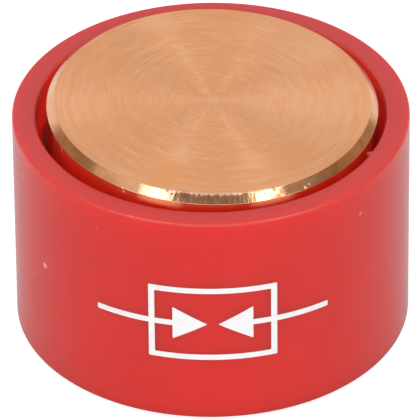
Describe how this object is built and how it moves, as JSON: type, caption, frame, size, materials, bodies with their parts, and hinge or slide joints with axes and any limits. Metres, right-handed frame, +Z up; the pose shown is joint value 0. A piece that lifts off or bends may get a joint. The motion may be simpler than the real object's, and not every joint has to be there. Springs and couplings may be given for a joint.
{
  "type": "surge arrester",
  "caption": "Spark-gap surge arrester cartridge: a red moulded ring with a turned copper contact in each end and a mica disc gap between them",
  "frame": {"origin": "centre of the lower contact face, on the surface that the part stands on", "axes": "+Z up along the ring's axis, from the lower contact to the upper one; -Y towards the front, where the gate stub is a little to the right"},
  "size_m": [0.048, 0.048, 0.0314],
  "materials": {
    "red_moulding": "glossy red moulded plastic, with a duller lapped rim",
    "turned_copper": "bare turned copper with fine concentric tool marks and a bright chamfer",
    "mica": "pale pressed mica sheet",
    "red_silicone": "matt red silicone rubber cord"
  },
  "bodies": {
    "root": {"housing": "red_moulding", "lower_electrode": "turned_copper", "upper_electrode": "turned_copper", "gap_disc": "mica", "lower_seal_ring": "red_silicone", "upper_seal_ring": "red_silicone"}
  },
  "joints": []
}
